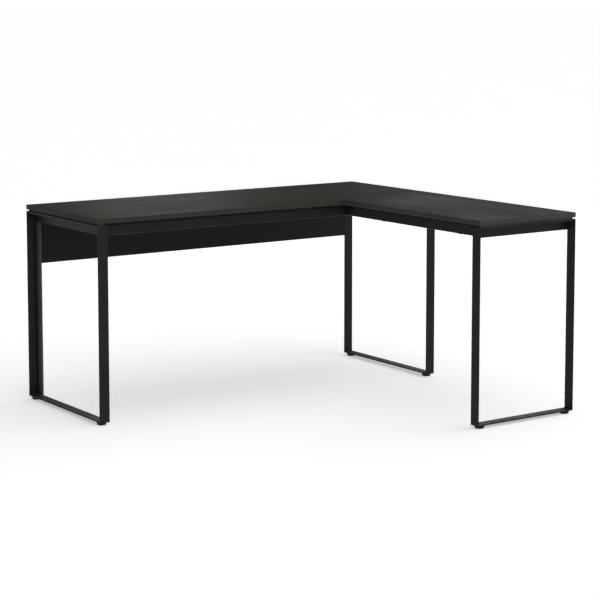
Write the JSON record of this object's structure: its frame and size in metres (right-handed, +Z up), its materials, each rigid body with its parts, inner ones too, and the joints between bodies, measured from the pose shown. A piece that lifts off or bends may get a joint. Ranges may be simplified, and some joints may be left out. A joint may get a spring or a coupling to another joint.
{
  "type": "corner desk",
  "caption": "L-shaped desk with floating wood tops on closed loops of flat steel bar, a rear privacy panel, a cable channel and levelling feet.",
  "frame": {"origin": "on the floor at the middle of the whole desk's outline", "axes": "+X along the main desk to the right, +Y to its back, +Z up"},
  "size_m": [1.54, 1.38, 0.75],
  "materials": {
    "wood_top": "ebonised open-grain wood, satin",
    "black_steel": "satin black powder coat",
    "black_sheet": "satin black powder coat on folded sheet",
    "black_fastener": "black oxide",
    "insert_brass": "plain",
    "spacer_plastic": "matte",
    "foot_plastic": "moulded matte",
    "stud_steel": "blackened"
  },
  "bodies": {
    "frame": {"cable_channel": "black_sheet", "cable_channel_screws": "black_fastener", "front_rail": "black_steel", "joining_plate_screws": "black_fastener", "left_end_rail": "black_steel", "left_leg_loop": "black_steel", "left_loop_screws": "black_fastener", "left_spacer_strip": "spacer_plastic", "main_bracket_bolts": "black_fastener", "main_bracket_front_left": "black_steel", "main_bracket_front_right": "black_steel", "main_bracket_rear_left": "black_steel", "main_bracket_rear_right": "black_steel", "main_spacer_bushes": "spacer_plastic", "main_top": "wood_top", "main_top_bolts": "black_fastener", "main_top_inserts": "insert_brass", "panel_screws": "black_fastener", "privacy_panel": "black_sheet", "rear_rail": "black_steel", "return_bracket_bolts": "black_fastener", "return_bracket_end_left": "black_steel", "return_bracket_end_right": "black_steel", "return_bracket_joint_left": "black_steel", "return_bracket_joint_right": "black_steel", "return_end_rail": "black_steel", "return_inner_rail": "black_steel", "return_leg_loop": "black_steel", "return_loop_screws": "black_fastener", "return_outer_rail": "black_steel", "return_spacer_bushes": "spacer_plastic", "return_spacer_strip": "spacer_plastic", "return_top": "wood_top", "return_top_bolts": "black_fastener", "return_top_inserts": "insert_brass", "right_end_rail": "black_steel", "right_leg_loop": "black_steel", "right_loop_screws": "black_fastener", "right_spacer_strip": "spacer_plastic", "top_joining_plate_1": "black_steel", "top_joining_plate_2": "black_steel"},
    "foot_left_rear": {"foot_pad_left_rear": "foot_plastic", "foot_stud_left_rear": "stud_steel"},
    "foot_left_front": {"foot_pad_left_front": "foot_plastic", "foot_stud_left_front": "stud_steel"},
    "foot_right_rear": {"foot_pad_right_rear": "foot_plastic", "foot_stud_right_rear": "stud_steel"},
    "foot_right_front": {"foot_pad_right_front": "foot_plastic", "foot_stud_right_front": "stud_steel"},
    "foot_return_inner": {"foot_pad_return_inner": "foot_plastic", "foot_stud_return_inner": "stud_steel"},
    "foot_return_outer": {"foot_pad_return_outer": "foot_plastic", "foot_stud_return_outer": "stud_steel"}
  },
  "joints": [
    {"name": "level_left_rear", "type": "slide", "parent": "frame", "child": "foot_left_rear", "axis": [0, 0, -1], "range_m": [0, 0.004]},
    {"name": "level_left_front", "type": "slide", "parent": "frame", "child": "foot_left_front", "axis": [0, 0, -1], "range_m": [0, 0.004]},
    {"name": "level_right_rear", "type": "slide", "parent": "frame", "child": "foot_right_rear", "axis": [0, 0, -1], "range_m": [0, 0.004]},
    {"name": "level_right_front", "type": "slide", "parent": "frame", "child": "foot_right_front", "axis": [0, 0, -1], "range_m": [0, 0.004]},
    {"name": "level_return_inner", "type": "slide", "parent": "frame", "child": "foot_return_inner", "axis": [0, 0, -1], "range_m": [0, 0.004]},
    {"name": "level_return_outer", "type": "slide", "parent": "frame", "child": "foot_return_outer", "axis": [0, 0, -1], "range_m": [0, 0.004]}
  ]
}
